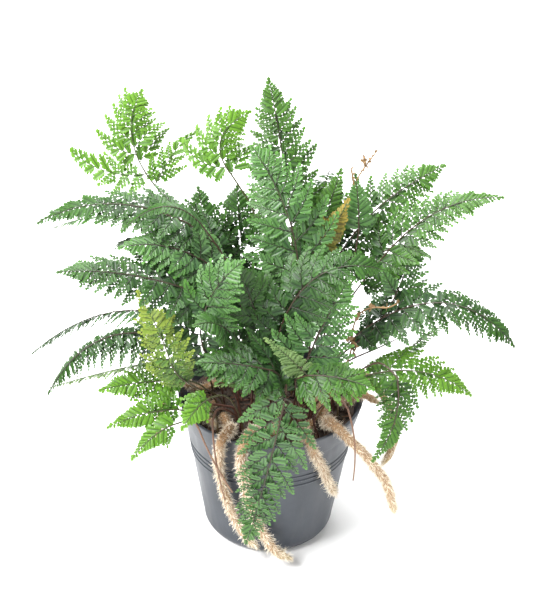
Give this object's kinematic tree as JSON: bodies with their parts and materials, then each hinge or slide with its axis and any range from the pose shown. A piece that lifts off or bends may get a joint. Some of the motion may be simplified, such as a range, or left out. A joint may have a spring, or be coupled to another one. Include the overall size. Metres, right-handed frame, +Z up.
{
  "type": "potted fern",
  "caption": "Potted rabbit's-foot fern: a ribbed tapered nursery pot of compost, furry rhizomes trailing over the rim, and arching feathery fronds.",
  "frame": {"origin": "centre of the flat underside of the pot, on the surface that it stands on", "axes": "+Z up along the pot's axis; +X to the right and -Y towards the viewer, so the long drooping frond hangs on the -Y side"},
  "size_m": [0.3817, 0.2756, 0.3813],
  "materials": {
    "bare_stipe": "smooth, dry",
    "compost": "crumbly",
    "leaf_ageing": "ageing, dry tips",
    "leaf_dark": "leathery, slightly glossy",
    "leaf_mid": "leathery, slightly glossy",
    "leaf_sheen": "waxy bluish sheen",
    "leaf_underside": "matt underside",
    "leaf_yellowing": "ageing",
    "leaf_young": "soft, thin",
    "pot_plastic": "satin, moulded ribs",
    "rhizome_fur": "furry brown scales"
  },
  "bodies": {
    "root": {"bare_stipe_front": "bare_stipe", "bare_stipe_left": "bare_stipe", "bare_stipe_right": "bare_stipe", "compost": "compost", "frond_arch_right": "leaf_dark", "frond_back_centre": "leaf_mid", "frond_back_high": "leaf_dark", "frond_back_left": "leaf_dark", "frond_back_right": "leaf_mid", "frond_centre_left_up": "leaf_sheen", "frond_centre_pale": "leaf_underside", "frond_crown_amber": "leaf_ageing", "frond_crown_front": "leaf_sheen", "frond_crown_right": "leaf_mid", "frond_crown_top": "leaf_mid", "frond_front_drooping": "leaf_sheen", "frond_front_edge_on": "leaf_underside", "frond_inner_centre": "leaf_dark", "frond_inner_left": "leaf_dark", "frond_inner_right": "leaf_sheen", "frond_left_curl": "leaf_dark", "frond_left_droop_far": "leaf_sheen", "frond_left_droop_low": "leaf_underside", "frond_left_droop_near": "leaf_dark", "frond_left_high": "leaf_dark", "frond_left_high_rear": "leaf_sheen", "frond_left_inner": "leaf_sheen", "frond_left_low": "leaf_young", "frond_left_middle": "leaf_dark", "frond_left_rim_down": "leaf_young", "frond_left_rim_leaf": "leaf_young", "frond_left_rim_out": "leaf_young", "frond_left_yellow": "leaf_yellowing", "frond_low_left": "leaf_dark", "frond_low_right": "leaf_mid", "frond_rear_centre": "leaf_dark", "frond_rear_left_middle": "leaf_dark", "frond_rear_left_tall": "leaf_dark", "frond_right_edge": "leaf_mid", "frond_right_hang": "leaf_mid", "frond_right_high_long": "leaf_mid", "frond_right_high_tall": "leaf_mid", "frond_right_inner": "leaf_mid", "frond_right_low": "leaf_young", "frond_right_up_left": "leaf_sheen", "frond_right_upright": "leaf_sheen", "frond_right_wide": "leaf_dark", "frond_young_centre": "leaf_young", "frond_young_left": "leaf_young", "pot": "pot_plastic", "rhizome_back": "rhizome_fur", "rhizome_front_left": "rhizome_fur", "rhizome_front_long": "rhizome_fur", "rhizome_front_right": "rhizome_fur", "rhizome_inside_left": "rhizome_fur", "rhizome_left_back": "rhizome_fur", "rhizome_right_back": "rhizome_fur", "rhizome_right_long": "rhizome_fur", "rhizome_right_rim": "rhizome_fur"}
  },
  "joints": []
}
